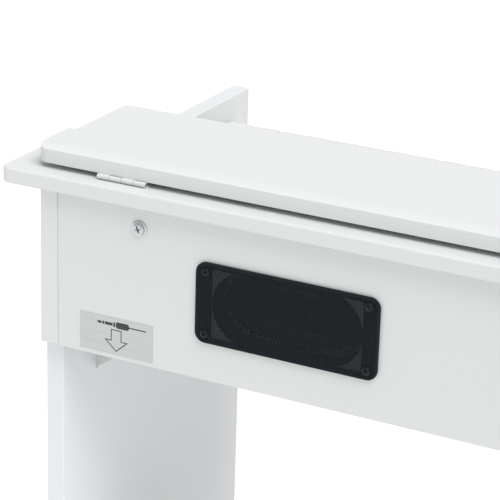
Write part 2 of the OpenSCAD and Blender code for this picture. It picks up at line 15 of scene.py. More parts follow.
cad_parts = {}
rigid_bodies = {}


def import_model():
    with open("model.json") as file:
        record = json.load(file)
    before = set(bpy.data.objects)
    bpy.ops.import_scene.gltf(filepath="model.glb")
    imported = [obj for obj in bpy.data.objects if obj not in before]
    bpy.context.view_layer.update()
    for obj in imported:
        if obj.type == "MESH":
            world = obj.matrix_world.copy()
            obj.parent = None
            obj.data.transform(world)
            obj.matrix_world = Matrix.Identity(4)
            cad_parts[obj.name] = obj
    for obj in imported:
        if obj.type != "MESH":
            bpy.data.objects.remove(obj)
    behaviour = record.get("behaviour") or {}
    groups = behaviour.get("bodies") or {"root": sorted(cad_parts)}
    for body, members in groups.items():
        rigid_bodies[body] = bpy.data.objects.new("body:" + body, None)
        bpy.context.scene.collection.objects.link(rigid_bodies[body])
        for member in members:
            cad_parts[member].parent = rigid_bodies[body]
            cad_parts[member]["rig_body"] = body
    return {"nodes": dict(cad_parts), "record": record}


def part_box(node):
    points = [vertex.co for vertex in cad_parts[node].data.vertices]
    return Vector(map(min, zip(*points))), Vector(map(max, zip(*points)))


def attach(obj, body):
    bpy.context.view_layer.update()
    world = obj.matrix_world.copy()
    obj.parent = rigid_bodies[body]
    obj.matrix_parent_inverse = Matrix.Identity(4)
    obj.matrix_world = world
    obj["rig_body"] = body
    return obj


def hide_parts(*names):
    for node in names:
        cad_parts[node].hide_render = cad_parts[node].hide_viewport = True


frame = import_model()

bl_info = {
    "name": "Digital Piano on a Stand",
    "version": (1, 0, 0),
    "blender": (4, 5, 0),
    "location": "3D View > Sidebar > Piano",
    "description": "Builds the finished pieces, the materials and the studio of a digital piano",
    "category": "Object",
}

MM = 0.001
NEAR = 0.1 * MM  # a point within this of a face lies on it
WELD = 1e-6  # points within this of each other become one
CASE = "case"
LETTERS = ("c4", "cs4", "d4", "ds4", "e4", "f4", "fs4", "g4", "gs4", "a4", "as4", "b4")
ALONG_X, ALONG_Y, ALONG_Z = AXES = "XYZ"


# ---- Settings that a user would change ----

def length(name, text, default):
    """A length property, shown in the scene's own units."""
    return FloatProperty(name=name, description=text, default=default, min=0.0, unit="LENGTH",
                         subtype="DISTANCE", precision=5)


def colour(name, text, default):
    """A colour property."""
    return FloatVectorProperty(name=name, description=text, default=default, min=0.0, max=1.0, size=3,
                               subtype="COLOR")


class PianoShape(PropertyGroup):
    """Sizes of the details that the CAD solids leave plain."""
    board_arris: length("Board arris", "Rounding of the boards' edges", 1.0 * MM)
    top_arris: length("Top arris", "Rounding of the top board's and the lid's edges", 1.6 * MM)
    rail_arris: length("Rail arris", "Rounding of the lid rail's upper rear edge", 5.0 * MM)
    joint: length("Joint", "Hairline joint between a long board and the end panels", 0.3 * MM)
    key_corner: length("Key corner", "Radius of the white keys' front corners, seen from above", 2.0 * MM)
    key_arris: length("Key arris", "Rounding of the white keys' edges", 0.8 * MM)
    sharp_arris: length("Black key arris", "Rounding of the black keys' edges", 1.2 * MM)
    pedal_arris: length("Pedal arris", "Rounding of the pedals' edges", 2.2 * MM)
    hole_pitch: length("Hole pitch", "Distance between the holes of a grille's sheet", 1.5 * MM)
    hole_width: length("Hole width", "Width of one hole in a grille's sheet", 1.04 * MM)
    rim_width: length("Rim width", "Width of the plain rim round a grille", 1.8 * MM)
    stroke: length("Stroke", "Width of the lines printed on the label", 0.7 * MM)
    arris_steps: IntProperty(name="Arris steps", description="Faces across each rounded edge", default=3,
                             min=1, max=6)


class PianoColours(PropertyGroup):
    """Base colours of the finishes."""
    foil: colour("Foil", "Satin white foil on the boards", (0.632, 0.645, 0.640))
    edging: colour("Edging", "White edging on the side panels", (0.642, 0.650, 0.655))
    leg: colour("Legs", "White foil on the legs", (0.698, 0.709, 0.722))
    plastic: colour("White plastic", "Buttons and the pedals' housing", (0.80, 0.81, 0.81))
    ivory: colour("White keys", "Moulded tops of the white keys", (0.665, 0.668, 0.65))
    ebony: colour("Black keys", "Moulded tops of the black keys", (0.016, 0.016, 0.017))
    coal: colour("Black plastic", "Sockets, control plate and window", (0.022, 0.022, 0.024))
    powder: colour("Grille", "Black powder coat on the grilles", (0.008, 0.0105, 0.0165))
    zinc: colour("Zinc", "Bright zinc on the screws", (0.54, 0.56, 0.565))
    steel: colour("Steel", "Dull zinc plate on the chassis and the brackets", (0.68, 0.70, 0.69))
    label: colour("Label", "Brushed silver grey of the label", (0.505, 0.520, 0.512))
    ink: colour("Ink", "Dark ink of the printed marks", (0.035, 0.037, 0.04))
    brass: colour("Brass", "Polished brass of the pedals", (0.83, 0.64, 0.32))
    gasket: colour("Gasket", "Foam gaskets behind the grilles", (0.125, 0.13, 0.135))
    felt: colour("Felt", "Strip of felt behind the keys", (0.33, 0.018, 0.022))
    board: colour("Circuit board", "Solder mask of the circuit boards", (0.012, 0.10, 0.045))
    rubber: colour("Rubber", "Bumpers, glides and the centre foot", (0.045, 0.045, 0.047))


class PianoStage(PropertyGroup):
    """Camera and light."""
    focal: FloatProperty(name="Focal length", description="The camera's focal length in millimetres",
                         default=156.1, min=20.0)
    place: FloatVectorProperty(name="Camera place", description="Where the camera stands", size=3,
                               default=(-0.1735, 1.4134, 1.2721), subtype="TRANSLATION", unit="LENGTH")
    heading: FloatProperty(name="Heading", description="Direction that the camera looks in, clockwise from +Y",
                           default=math.radians(153.52), subtype="ANGLE", unit="ROTATION")
    tilt: FloatProperty(name="Tilt", description="How far the camera looks down", default=math.radians(20.84),
                        subtype="ANGLE", unit="ROTATION")
    roll: FloatProperty(name="Roll", description="Turn of the camera about its own line of sight",
                        default=math.radians(1.78), subtype="ANGLE", unit="ROTATION")
    sky: FloatProperty(name="Sky", description="Strength of the even light from all round", default=0.64,
                       min=0.0)
    key: FloatProperty(name="Key light", description="Strength of the soft light from above and behind",
                       default=2.65, min=0.0)
    light_width: FloatProperty(name="Light width", description="Angle that each light fills",
                               default=math.radians(45), subtype="ANGLE", unit="ROTATION")
    fill: FloatProperty(name="Fill light", description="Strength of the low light from behind the piano",
                        default=0.12, min=0.0)
    floor: colour("Floor", "Pale floor", (0.92, 0.92, 0.92))


# ---- Shader maths ----

COAT_ROUGHNESS = 0.08
# The Mix node's sockets for colours
MIX_MASK, MIX_FIRST, MIX_SECOND, MIX_RESULT = 0, 6, 7, 2


class Sock:
    """An output of a node, so that shader maths reads as an expression."""

    def __init__(self, finish, output):
        self.finish = finish
        self.output = output

    def maths(self, operation, *values):
        return self.finish.node("ShaderNodeMath", {"operation": operation}, dict(enumerate(values)))

    def __add__(self, other):
        return self.maths("ADD", self, other)

    def __sub__(self, other):
        return self.maths("SUBTRACT", self, other)

    def __rsub__(self, other):
        return self.maths("SUBTRACT", other, self)

    def __mul__(self, other):
        return self.maths("MULTIPLY", self, other)

    __radd__ = __add__
    __rmul__ = __mul__

    def above(self, limit):
        return self.maths("GREATER_THAN", self, limit)

    def blended(self, other, share):
        """A mask of which a share is this one and the rest another."""
        return self * share + other * (1.0 - share)


class Finish:
    """A material whose nodes are added by expressions."""

    def __init__(self, name, base, roughness, metallic=0.0, coat=0.0, specular=0.5):
        self.material = bpy.data.materials.new(name)
        self.material.use_nodes = True
        self.material.diffuse_color = (*base, 1.0)
        self.tree = self.material.node_tree
        self.tree.nodes.clear()
        self.shader = self.tree.nodes.new("ShaderNodeBsdfPrincipled")
        out = self.tree.nodes.new("ShaderNodeOutputMaterial")
        self.tree.links.new(self.shader.outputs[0], out.inputs["Surface"])
        self.base = tuple(base)
        constants = {"Base Color": (*base, 1.0), "Roughness": roughness, "Metallic": metallic,
                     "Coat Weight": coat, "Coat Roughness": COAT_ROUGHNESS, "Specular IOR Level": specular}
        for socket, value in constants.items():
            self.shader.inputs[socket].default_value = value
        self.place = self.node("ShaderNodeTexCoord", output="Object")

    def node(self, kind, settings=None, inputs=None, output=0):
        """Adds a node, makes its settings, then fills its sockets, and returns one output."""
        made = self.tree.nodes.new(kind)
        for name, value in (settings or {}).items():
            setattr(made, name, value)
        for name, value in (inputs or {}).items():
            if isinstance(value, Sock):
                self.tree.links.new(value.output, made.inputs[name])
            else:
                made.inputs[name].default_value = value
        return Sock(self, made.outputs[output])

    def stretched(self, scale):
        """Object coordinates, with one scale for each axis."""
        return self.node("ShaderNodeMapping", None, {"Vector": self.place, "Scale": scale})

    def noise(self, scale, detail=3.0, vector=None, rough=0.5):
        return self.node("ShaderNodeTexNoise", None, {"Vector": vector or self.place, "Scale": scale,
                                                      "Detail": detail, "Roughness": rough})

    def cells(self, scale):
        """Distance from the middles of scattered cells."""
        return self.node("ShaderNodeTexVoronoi", None, {"Vector": self.place, "Scale": scale},
                         output="Distance")

    def tint(self, mask, low, high):
        """Base colour that runs from one multiple of the base to another with a mask."""
        ends = [(*(min(1.0, c * k) for c in self.base), 1.0) for k in (low, high)]
        mixed = self.node("ShaderNodeMix", {"data_type": "RGBA"},
                          {MIX_MASK: mask, MIX_FIRST: ends[0], MIX_SECOND: ends[1]}, output=MIX_RESULT)
        self.tree.links.new(mixed.output, self.shader.inputs["Base Color"])

    def shine(self, mask, low, high):
        """Roughness that runs from one value to another with a mask."""
        rough = mask * (high - low) + low
        self.tree.links.new(rough.output, self.shader.inputs["Roughness"])

    def relief(self, height, depth):
        """Bump of a real depth, in metres."""
        bump = self.node("ShaderNodeBump", None, {"Height": height, "Distance": depth, "Strength": 1.0})
        self.tree.links.new(bump.output, self.shader.inputs["Normal"])


FINISHES = {}


def shade(base, share):
    """A darker shade of a colour."""
    return tuple(share * value for value in base)


def finish_named(name):
    """The finished material of a name, made the first time that it is asked for."""
    if name not in FINISHES:
        FINISHES[name] = MAKERS[name](bpy.context.scene.piano_colours)
    return FINISHES[name]


def foil(name, base, grain):
    """White foil on board: a faint grain along one axis, cloudy sheen and a shallow emboss."""
    made = Finish(name, base, roughness=0.44)
    across, along = 620.0, 9.0
    scale = tuple(along if axis == grain else across for axis in AXES)
    lines = made.noise(1.0, detail=4.0, vector=made.stretched(scale), rough=0.6)
    clouds = made.noise(7.0, detail=2.0)
    pores = made.noise(2600.0, detail=2.0)
    made.tint(lines.blended(clouds, 0.6), low=0.975, high=1.02)
    made.shine(clouds.blended(lines, 0.6), low=0.38, high=0.52)
    made.relief(lines.blended(pores, 0.7), depth=0.016 * MM)
    return made.material


def moulded(name, base, rough, texture, depth, coat=0.0, specular=0.5):
    """Moulded plastic or paint: a fine texture under faint smears, from the smoothest to the roughest."""
    made = Finish(name, base, sum(rough) / 2, coat=coat, specular=specular)
    fine = made.noise(texture)
    smears = made.noise(26.0)
    made.tint(smears, low=0.96, high=1.03)
    made.shine(smears.blended(fine, 0.7), *rough)
    made.relief(fine, depth)
    return made.material


def metal(name, base, rough, scratches, depth, spread=(0.9, 1.06)):
    """Plain metal whose fine scratches follow one scale for each axis."""
    made = Finish(name, base, sum(rough) / 2, metallic=1.0)
    lines = made.noise(1.0, detail=4.0, vector=made.stretched(scratches), rough=0.65)
    clouds = made.noise(60.0, detail=2.0)
    made.tint(clouds.blended(lines, 0.5), *spread)
    made.shine(lines.blended(clouds, 0.6), *rough)
    made.relief(lines, depth)
    return made.material


def plated(colours):
    """Dull zinc plate with its crystals."""
    made = Finish("zinc_plate", colours.steel, roughness=0.45, metallic=0.85)
    crystals = made.cells(240.0)
    clouds = made.noise(45.0)
    made.tint(crystals.blended(clouds, 0.4), low=0.86, high=1.1)
    made.shine(crystals.blended(clouds, 0.5), low=0.34, high=0.58)
    made.relief(clouds, depth=0.01 * MM)
    return made.material


def label_foil(colours):
    """Brushed silver foil, its lines along the label."""
    made = Finish("brushed_label", colours.label, roughness=0.5, metallic=0.1)
    hairs, streaks = (10.0, 400.0, 1500.0), (6.0, 100.0, 330.0)
    lines = made.noise(1.0, vector=made.stretched(hairs), rough=0.7)
    bands = made.noise(1.0, detail=2.0, vector=made.stretched(streaks))
    made.tint(lines.blended(bands, 0.5), low=0.86, high=1.13)
    made.shine(lines, low=0.42, high=0.6)
    made.relief(lines, depth=0.004 * MM)
    return made.material


def felt_cloth(colours):
    """Pressed felt: short fibres that lie every way."""
    made = Finish("red_felt", colours.felt, roughness=0.95)
    fibres = made.noise(1800.0, detail=5.0, rough=0.8)
    tufts = made.noise(240.0)
    nap = fibres.blended(tufts, 0.6)
    made.tint(nap, low=0.6, high=1.4)
    made.relief(nap, depth=0.25 * MM)
    return made.material


def circuit(colours):
    """Circuit board: copper tracks under a green mask, and tinned pads."""
    made = Finish("circuit_board", colours.board, roughness=0.35)
    pad_size = 0.16
    tracks = made.node("ShaderNodeTexBrick", {"offset": 0.5}, {
        "Vector": made.stretched((1.0, 1.0, 0.0)), "Scale": 60.0, "Mortar Size": 0.03, "Bias": 0.0,
        "Color1": (1, 1, 1, 1), "Color2": (1, 1, 1, 1), "Mortar": (0, 0, 0, 1)}, output="Fac")
    pads = made.cells(150.0)
    made.tint(tracks.blended(1.0 - pads.above(pad_size), 0.7), low=0.7, high=2.2)
    made.shine(tracks, low=0.3, high=0.5)
    made.relief(tracks, depth=0.03 * MM)
    return made.material


def pulp(colours):
    """Black pulp of the speaker cones."""
    made = Finish("cone_pulp", shade(colours.coal, 0.08), roughness=0.9, specular=0.0)
    fibres = made.noise(900.0, detail=5.0, rough=0.7)
    made.tint(fibres, low=0.6, high=1.7)
    made.shine(fibres, low=0.7, high=0.95)
    made.relief(fibres, depth=0.08 * MM)
    return made.material


def glossy(name, base, coat):
    """Smooth dark window with faint wipe marks."""
    made = Finish(name, base, roughness=0.08, coat=coat)
    marks = made.noise(1.0, vector=made.stretched((20.0, 140.0, 140.0)))
    made.shine(marks, low=0.04, high=0.16)
    made.tint(marks, low=0.9, high=1.15)
    return made.material


MAKERS = {
    "foil_x": lambda c: foil("white_foil_along_x", c.foil, ALONG_X),
    "foil_y": lambda c: foil("white_edging_along_y", c.edging, ALONG_Y),
    "foil_z": lambda c: foil("white_foil_upright", c.leg, ALONG_Z),
    "white_plastic": lambda c: moulded("white_moulding", c.plastic, rough=(0.42, 0.6), texture=2400.0,
                                       depth=0.02 * MM),
    "ivory": lambda c: moulded("ivory_gloss", c.ivory, rough=(0.14, 0.26), texture=900.0, depth=0.002 * MM,
                               coat=0.35),
    "ebony": lambda c: moulded("ebony_satin", c.ebony, rough=(0.34, 0.5), texture=1700.0, depth=0.008 * MM),
    "black_plastic": lambda c: moulded("black_moulding", c.coal, rough=(0.5, 0.7), texture=2200.0,
                                       depth=0.02 * MM),
    "window": lambda c: glossy("window_gloss", c.coal, coat=0.8),
    "powder": lambda c: moulded("black_powder_coat", c.powder, rough=(0.42, 0.6), texture=2600.0,
                                depth=0.012 * MM, specular=0.22),
    "rim": lambda c: moulded("black_rim", shade(c.powder, 0.7), rough=(0.4, 0.55), texture=2600.0,
                             depth=0.012 * MM, specular=0.16),
    # Near-black backing: the grille frames' own black, and painted shade on the liners inside the speaker
    # openings
    "basket": lambda c: moulded("black_backing_and_painted_shade", shade(c.powder, 0.1), rough=(0.8, 0.95), texture=2200.0,
                                depth=0.01 * MM, specular=0.0),
    "black_screw": lambda c: moulded("black_screw_paint", shade(c.powder, 0.6), rough=(0.2, 0.34),
                                     texture=1800.0, depth=0.004 * MM, specular=0.24),
    "blackened": lambda c: metal("blackened_steel", c.powder, rough=(0.3, 0.5), scratches=(500.0, 500.0, 500.0),
                                 depth=0.004 * MM),
    "zinc": lambda c: metal("bright_zinc", c.zinc, rough=(0.14, 0.3), scratches=(700.0, 700.0, 160.0),
                            depth=0.003 * MM),
    "plated": plated,
    "painted": lambda c: moulded("white_paint", shade(c.edging, 0.94), rough=(0.4, 0.5), texture=1500.0,
                                 depth=0.006 * MM),
    "label": label_foil,
    "ink": lambda c: moulded("dark_ink", c.ink, rough=(0.5, 0.7), texture=3000.0, depth=0.002 * MM),
    "white_ink": lambda c: moulded("pale_ink", c.plastic, rough=(0.5, 0.7), texture=3000.0, depth=0.002 * MM),
    "circuit": circuit,
    "pulp": pulp,
    "felt": felt_cloth,
    "gasket": lambda c: moulded("grey_gasket", c.gasket, rough=(0.85, 0.98), texture=1300.0, depth=0.08 * MM),
    "rubber": lambda c: moulded("grey_rubber", c.rubber, rough=(0.7, 0.9), texture=1200.0, depth=0.03 * MM),
    "brass": lambda c: metal("pedal_brass", c.brass, rough=(0.14, 0.34), scratches=(900.0, 60.0, 900.0),
                             depth=0.004 * MM, spread=(0.88, 1.05)),
}
# The finish that a CAD node has from its material slot, where no other piece stands for it
SLOT_FINISH = {
    "white_satin": "foil_x", "white_plastic": "white_plastic", "key_white": "ivory", "key_black": "ebony",
    "black_plastic": "black_plastic", "window_glass": "window", "grille_black": "powder",
    "black_steel": "blackened", "bright_steel": "zinc", "plated_steel": "plated", "hinge_white": "painted",
    "label_foil": "label", "circuit_green": "circuit", "paper_cone": "pulp", "grey_rubber": "rubber",
    "pedal_brass": "brass",
}
NODE_SLOT = {entry["node"]: entry["material_slot"] for entry in frame["record"]["subparts"]}


# ---- Mesh helpers ----

def middle(node):
    """Middle of a CAD node's box."""
    low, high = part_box(node)
    return (low + high) / 2


def body_of_node(node):
    """Body that a CAD node rides on."""
    return frame["nodes"][node]["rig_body"]


def smooth_piece(mesh, angle=math.radians(32)):
    """Smooth faces, with sharp edges past an angle."""
    mesh.polygons.foreach_set("use_smooth", [True] * len(mesh.polygons))
    mesh.set_sharp_from_angle(angle=angle)


def piece(name, bm, finish, body, replaces=(), even=True):
    """Turns a bmesh into a finished piece that rides on a body."""
    mesh = bpy.data.meshes.new(name)
    bm.to_mesh(mesh)
    bm.free()
    smooth_piece(mesh)
    made = bpy.data.objects.new(name, mesh)
    bpy.context.scene.collection.objects.link(made)
    mesh.materials.append(finish_named(finish))
    if even:
        weighted = made.modifiers.new("even_normals", "WEIGHTED_NORMAL")
        weighted.keep_sharp = True
    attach(made, body)
    if replaces:
        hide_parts(*replaces)
    return made


def node_copy(node, flat=math.radians(0.3)):
    """A CAD node's solid as a clean bmesh, with its flat faces whole."""
    bm = bmesh.new()
    bm.from_mesh(frame["nodes"][node].data)
    bmesh.ops.remove_doubles(bm, verts=bm.verts, dist=WELD)
    bmesh.ops.dissolve_limit(bm, angle_limit=flat, verts=bm.verts, edges=bm.edges)
    return bm


def round_edges(bm, radius, steps, where=None, angle=math.radians(40)):
    """Rounds the sharp edges of a bmesh, or those of them that a test picks."""
    edges = [e for e in bm.edges if e.is_manifold and e.calc_face_angle(0.0) > angle]
    if where:
        edges = [e for e in edges if where(e)]
    bmesh.ops.bevel(bm, geom=edges, offset=radius, offset_type="OFFSET", affect="EDGES", segments=steps,
                    profile=0.5, material=-1, clamp_overlap=True)


def softened(node, radius, steps, finish, suffix, where=None, joint=0.0, corners=None):
    """Stands a copy with rounded edges in a CAD node's place.

    Joint is the hairline that is left at each of its ends in X, and corners is a larger radius with the
    test that picks its edges.
    """
    bm = node_copy(node)
    ends = [v.co.x for v in bm.verts]
    span = max(ends) - min(ends)
    bmesh.ops.scale(bm, vec=(1 - 2 * joint / span, 1, 1), verts=bm.verts)
    if corners:
        round_edges(bm, corners[0], steps + 1, corners[1])
    round_edges(bm, radius, steps, where)
    return piece(f"{node}_{suffix}", bm, finish, body_of_node(node), (node,))


def in_front_of(limit):
    """A test for the edges that lie wholly in front of a place in Y."""
    return lambda edge: all(v.co.y < limit for v in edge.verts)


def to_rear(point):
    """Stands a shape drawn in X and Y up in X and Z at a point, its thickness towards +Y."""
    upright = Matrix.Rotation(math.radians(90), 4, "X") @ Matrix.Scale(-1, 4, (0, 0, 1))
    return Matrix.Translation(point) @ upright


def place(bm, matrix):
    """Moves a whole bmesh, and turns its faces outwards again."""
    bmesh.ops.transform(bm, matrix=matrix, verts=bm.verts)
    bmesh.ops.recalc_face_normals(bm, faces=bm.faces)


def round_plate(bm, width, height, radius, steps=8):
    """A flat face with four round corners, about the origin."""
    made = bmesh.ops.create_grid(bm, x_segments=1, y_segments=1, size=0.5,
                                 matrix=Matrix.Diagonal((width, height, 1, 1)))
    if radius > 0:
        bmesh.ops.bevel(bm, geom=made["verts"], offset=radius, offset_type="OFFSET", affect="VERTICES",
                        segments=steps, profile=0.5, material=-1)


def new_verts(made):
    """The vertices that a bmesh operator has made."""
    return [v for v in made["geom"] if isinstance(v, bmesh.types.BMVert)]


def thicken(bm, depth):
    """Draws every face of a flat bmesh out along +Z to a closed solid."""
    made = bmesh.ops.extrude_face_region(bm, geom=bm.faces[:])
    bmesh.ops.translate(bm, verts=new_verts(made), vec=(0, 0, depth))
    bmesh.ops.recalc_face_normals(bm, faces=bm.faces)


def frame_ring(outer, inner, depth):
    """A flat ring between two rounded rectangles, each given as width, height and corner radius."""
    bm = bmesh.new()
    for size in (outer, inner):
        old = set(bm.faces)
        round_plate(bm, *size)
        new = [f for f in bm.faces if f not in old]
        bmesh.ops.delete(bm, geom=new, context="FACES_ONLY")
    bmesh.ops.bridge_loops(bm, edges=bm.edges[:])
    thicken(bm, depth)
    return bm


def merged(*parts):
    """Joins bmeshes into the first of them."""
    whole = parts[0]
    for part in parts[1:]:
        spare = bpy.data.meshes.new("spare")
        part.to_mesh(spare)
        part.free()
        whole.from_mesh(spare)
        bpy.data.meshes.remove(spare)
    return whole


def copies(bm, places):
    """The same shape at each of several places, as one bmesh."""
    source = bpy.data.meshes.new("spare")
    bm.to_mesh(source)
    bm.free()
    whole = bmesh.new()
    for matrix in places:
        old = set(whole.verts)
        whole.from_mesh(source)
        bmesh.ops.transform(whole, matrix=matrix, verts=[v for v in whole.verts if v not in old])
    bpy.data.meshes.remove(source)
    bmesh.ops.recalc_face_normals(whole, faces=whole.faces)
    return whole


def turned(profile, steps):
    """A solid turned about the Z axis from points of radius and height."""
    bm = bmesh.new()
    points = [bm.verts.new((r, 0, h)) for r, h in profile]
    edges = [bm.edges.new(pair) for pair in zip(points, points[1:])]
    bmesh.ops.spin(bm, geom=points + edges, axis=(0, 0, 1), cent=(0, 0, 0), angle=math.tau, steps=steps,
                   use_merge=True)
    bmesh.ops.remove_doubles(bm, verts=bm.verts, dist=WELD)
    bmesh.ops.recalc_face_normals(bm, faces=bm.faces)
    return bm


def cross_cutter(width, arm, top, depth, overlap=1.2, foot=0.35):
    """A cross that narrows downwards to a share of its size, for cutting a screw's recess."""
    centre = Matrix.Translation((0, 0, top - depth / 2))
    bars = []
    for quarter in (0, 90):
        bar = bmesh.new()
        bmesh.ops.create_cube(bar, size=1.0, matrix=centre @ Matrix.Rotation(math.radians(quarter), 4, "Z")
                              @ Matrix.Diagonal((width, arm, depth * overlap, 1)))
        low = [v for v in bar.verts if v.co.z < top - depth / 2]
        bmesh.ops.scale(bar, vec=(foot, foot, 1.0), verts=low)
        bars.append(bar)
    return bars


def cut(bm, cutters):
    """Cuts solids out of a bmesh, one after another."""
    def as_object(part):
        mesh = bpy.data.meshes.new("spare")
        part.to_mesh(mesh)
        part.free()
        made = bpy.data.objects.new("spare", mesh)
        bpy.context.scene.collection.objects.link(made)
        return made

    body, *tools = [as_object(part) for part in (bm, *cutters)]
    for tool in tools:
        step = body.modifiers.new("cut", "BOOLEAN")
        step.operation = "DIFFERENCE"
        step.solver = "EXACT"
        step.object = tool
    bpy.context.view_layer.update()
    result = bmesh.new()
    result.from_object(body, bpy.context.evaluated_depsgraph_get())
    for spare in (body, *tools):
        mesh = spare.data
        bpy.data.objects.remove(spare)
        bpy.data.meshes.remove(mesh)
    return result


# ---- Boards ----

TOP_NODES = ("top_board", "lid_rail", "lid_panel")
LONG_BOARDS = ("rear_panel", "bottom_board", "fallboard", "key_slip", "rear_stretcher", "pedal_board")
LONG_ARRIS = 0.4  # share of the boards' arris that a board between the end panels has


def make_boards(shape):
    """Foil-faced boards of the case, the lid and the stand."""
    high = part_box("lid_rail")[1]

    def upper_rear(edge):
        return all(v.co.y > high.y - NEAR and v.co.z > high.z - NEAR for v in edge.verts)

    for node in TOP_NODES:
        softened(node, shape.top_arris, shape.arris_steps, "foil_x", "board",
                 corners=(shape.rail_arris, upper_rear) if node == "lid_rail" else None)
    for node in LONG_BOARDS:
        softened(node, shape.board_arris * LONG_ARRIS, shape.arris_steps, "foil_x", "board", joint=shape.joint)
    for side in ("treble", "bass"):
        softened(f"side_panel_{side}", shape.board_arris, shape.arris_steps, "foil_y", "board")
        softened(f"leg_{side}", shape.board_arris, shape.arris_steps, "foil_z", "board")


# ---- Keys ----

PIVOT_CLEARANCE = 12 * MM  # how far in front of its pivot a lever's rounded edges stop


def make_keys(shape):
    """White and black keys with softened edges, clear of the shaft that they swing on."""
    clear = in_front_of(middle("key_shaft").y - PIVOT_CLEARANCE)
    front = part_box("white_keys")[0].y

    def front_corner(edge):
        ends = [v.co for v in edge.verts]
        return all(end.y < front + NEAR for end in ends) and abs(ends[0].x - ends[1].x) < NEAR

    for node in ("white_keys", "black_keys", *(f"key_{letter}" for letter in LETTERS)):
        if NODE_SLOT[node] == "key_white":
            softened(node, shape.key_arris, shape.arris_steps, "ivory", "tops", clear,
                     corners=(shape.key_corner, front_corner))
        else:
            softened(node, shape.sharp_arris, shape.arris_steps, "ebony", "tops", clear)


def make_felt():
    """Felt strip along the foot of the fallboard, behind the keys."""
    low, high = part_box("fallboard")
    inset, thick, tall, drop, arris = 1 * MM, 2 * MM, 6 * MM, 1.5 * MM, 0.7 * MM
    size = (high.x - low.x - 2 * inset, thick, tall, 1)
    centre = Vector(((low.x + high.x) / 2, low.y - thick / 2, low.z + tall / 2 - drop))
    bm = bmesh.new()
    bmesh.ops.create_cube(bm, size=1.0, matrix=Matrix.Translation(centre) @ Matrix.Diagonal(size))
    round_edges(bm, arris, steps=3)
    piece("felt_strip", bm, "felt", CASE)


# ---- Speakers ----

# Sizes of flat shapes are width, height and corner radius
GRILLE_WIDTH, GRILLE_CORNER = 142.7 * MM, 8 * MM
SHEET_DEPTH, SHEET_INSET, SHEET_SINK = 0.3 * MM, 0.4 * MM, 0.25 * MM
RIM_ARRIS = 0.45 * MM
FRAME_LIFT, GASKET_LIFT = 0.1 * MM, 0.02 * MM
FRAME_WINDOW, FRAME_SLACK = (118 * MM, 53 * MM, 2 * MM), 0.5 * MM
GASKET = ((125 * MM, 57.6 * MM, 3 * MM), (117.6 * MM, 56.6 * MM, 28.2 * MM), 0.4 * MM)
# Near-black liner on the wall of each speaker opening: it paints the shade inside the opening
SHADE_LINER = ((117.9 * MM, 56.9 * MM, 28.4 * MM), (117.1 * MM, 56.1 * MM, 28.0 * MM), 12 * MM)
CONE_HALF = (55.5 * MM, 25.5 * MM, 1.0)
# Share of the rim's radius, and depth behind the rim in millimetres: the surround, the cone, the dust cap
CONE_RINGS = ((0.965, 0.2), (0.94, -0.9), (0.90, -1.4), (0.86, -0.9), (0.835, 0.3), (0.80, 0.9),
              (0.62, 4.2), (0.44, 7.4), (0.30, 9.4), (0.28, 8.4), (0.21, 7.0), (0.12, 6.0))
CONE_PAPER = 0.6 * MM


def perforated_sheet(size, pitch, hole, depth):
    """A sheet with staggered six-sided holes, trimmed to a rounded rectangle."""
    width, height, corner = size
    bm = bmesh.new()
    made = bmesh.ops.create_circle(bm, cap_ends=True, segments=6, radius=pitch / math.sqrt(3))
    bmesh.ops.rotate(bm, cent=(0, 0, 0), matrix=Matrix.Rotation(math.radians(30), 3, "Z"), verts=made["verts"])
    core = bm.faces[:]
    bm.normal_update()
    bmesh.ops.inset_region(bm, faces=core, thickness=(pitch - hole) / 2, use_boundary=True,
                           use_even_offset=True)
    bmesh.ops.delete(bm, geom=core, context="FACES")
    column = pitch * math.sqrt(3) / 2

    def doubled(step):
        made = bmesh.ops.duplicate(bm, geom=bm.verts[:] + bm.edges[:] + bm.faces[:])
        bmesh.ops.translate(bm, vec=step, verts=new_verts(made))

    doubled((column, pitch / 2, 0))
    for direction, start, need in ((Vector((0, 1, 0)), pitch, height), (Vector((1, 0, 0)), 2 * column, width)):
        step = start
        while step < need + 2 * start:
            doubled(direction * step)
            step *= 2
    bmesh.ops.remove_doubles(bm, verts=bm.verts, dist=pitch / 50)
    xs, ys = [v.co.x for v in bm.verts], [v.co.y for v in bm.verts]
    shift = Vector((min(xs) + width / 2 + pitch, min(ys) + height / 2 + pitch, 0))
    bmesh.ops.translate(bm, vec=-shift, verts=bm.verts)

    def trim(normal, distance):
        bmesh.ops.bisect_plane(bm, geom=bm.verts[:] + bm.edges[:] + bm.faces[:], plane_co=normal * distance,
                               plane_no=normal, clear_outer=True)

    for sx, sy in ((1, 0), (-1, 0), (0, 1), (0, -1)):
        trim(Vector((sx, sy, 0)), width / 2 if sx else height / 2)
    reach = Vector((width / 2 - corner, height / 2 - corner, 0))
    for sx in (-1, 1):
        for sy in (-1, 1):
            for quarter_turn in (0.25, 0.5, 0.75):
                turn = quarter_turn * math.pi / 2
                normal = Vector((sx * math.cos(turn), sy * math.sin(turn), 0))
                trim(normal, normal.dot(Vector((sx * reach.x, sy * reach.y, 0))) + corner)
    thicken(bm, depth)
    return bm


def grille_middles():
    """Places in X of the bass and the treble grille's middles."""
    middle_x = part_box("speaker_grilles")[1].x - GRILLE_WIDTH / 2
    return -middle_x, middle_x


def shrunk(size, inset):
    """A rounded rectangle that lies inside another, the same distance from each of its edges."""
    width, height, corner = size
    return width - 2 * inset, height - 2 * inset, corner - inset


